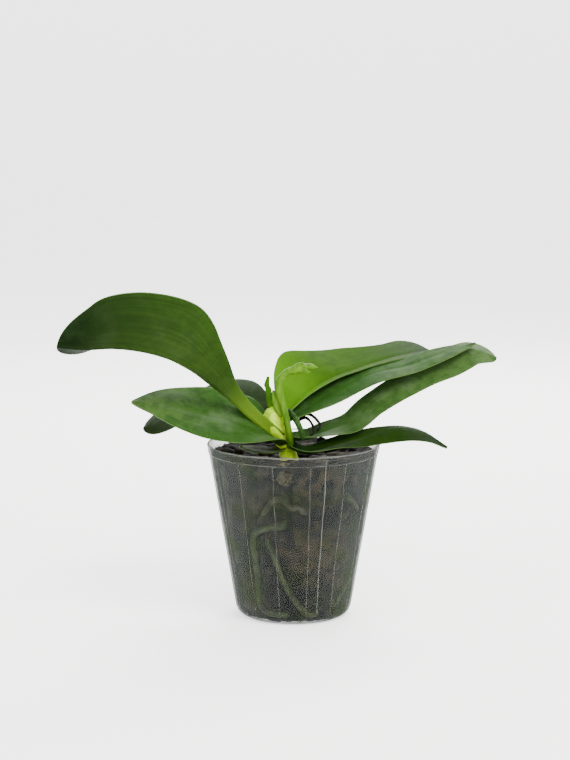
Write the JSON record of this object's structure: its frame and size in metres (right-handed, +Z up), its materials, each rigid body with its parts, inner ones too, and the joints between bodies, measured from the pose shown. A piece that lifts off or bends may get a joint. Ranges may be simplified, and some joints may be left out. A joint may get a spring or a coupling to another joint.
{
  "type": "potted moth orchid",
  "caption": "Young moth orchid, Phalaenopsis violacea, with broad leaves and a young flower spike, in a clear plastic pot of bark.",
  "frame": {"origin": "middle of the underside of the pot's base, on the surface it stands on", "axes": "+Z up, -Y towards the front of the plant, +X to its right"},
  "size_m": [0.3086, 0.1593, 0.237],
  "materials": {
    "clear_pot": "clear moulded polypropylene with a slight haze",
    "bark_chips": "damp coarse pine bark",
    "moss": "dry pale sphagnum moss",
    "sheath_green": "smooth yellow-green leaf sheaths",
    "leaf_green": "fleshy green leaf with a waxy satin skin",
    "leaf_young": "fresh light green leaf",
    "spike_green": "smooth yellow-green flower stalk with bracts and buds",
    "root_silver": "silvery green root skin",
    "root_dried": "shrivelled black-brown root",
    "root_green": "moist green root",
    "root_pale": "pale dry root"
  },
  "bodies": {
    "root": {"pot": "clear_pot", "bark": "bark_chips", "moss_tuft": "moss", "stem": "sheath_green", "leaf_left_top": "leaf_green", "leaf_left_low": "leaf_green", "leaf_left_back": "leaf_green", "leaf_right_top": "leaf_green", "leaf_right_mid": "leaf_green", "leaf_right_low": "leaf_green", "leaf_right_rim": "leaf_green", "leaf_basal": "leaf_green", "leaf_new": "leaf_young", "flower_spike": "spike_green", "aerial_root": "root_silver", "dried_roots": "root_dried", "root_front_long": "root_green", "root_front_diagonal": "root_green", "root_front_arch": "root_pale", "root_right_short": "root_green", "root_left_rim": "root_pale", "root_right_low": "root_green", "root_back_right": "root_green", "root_back": "root_pale", "root_back_left": "root_green"}
  },
  "joints": []
}
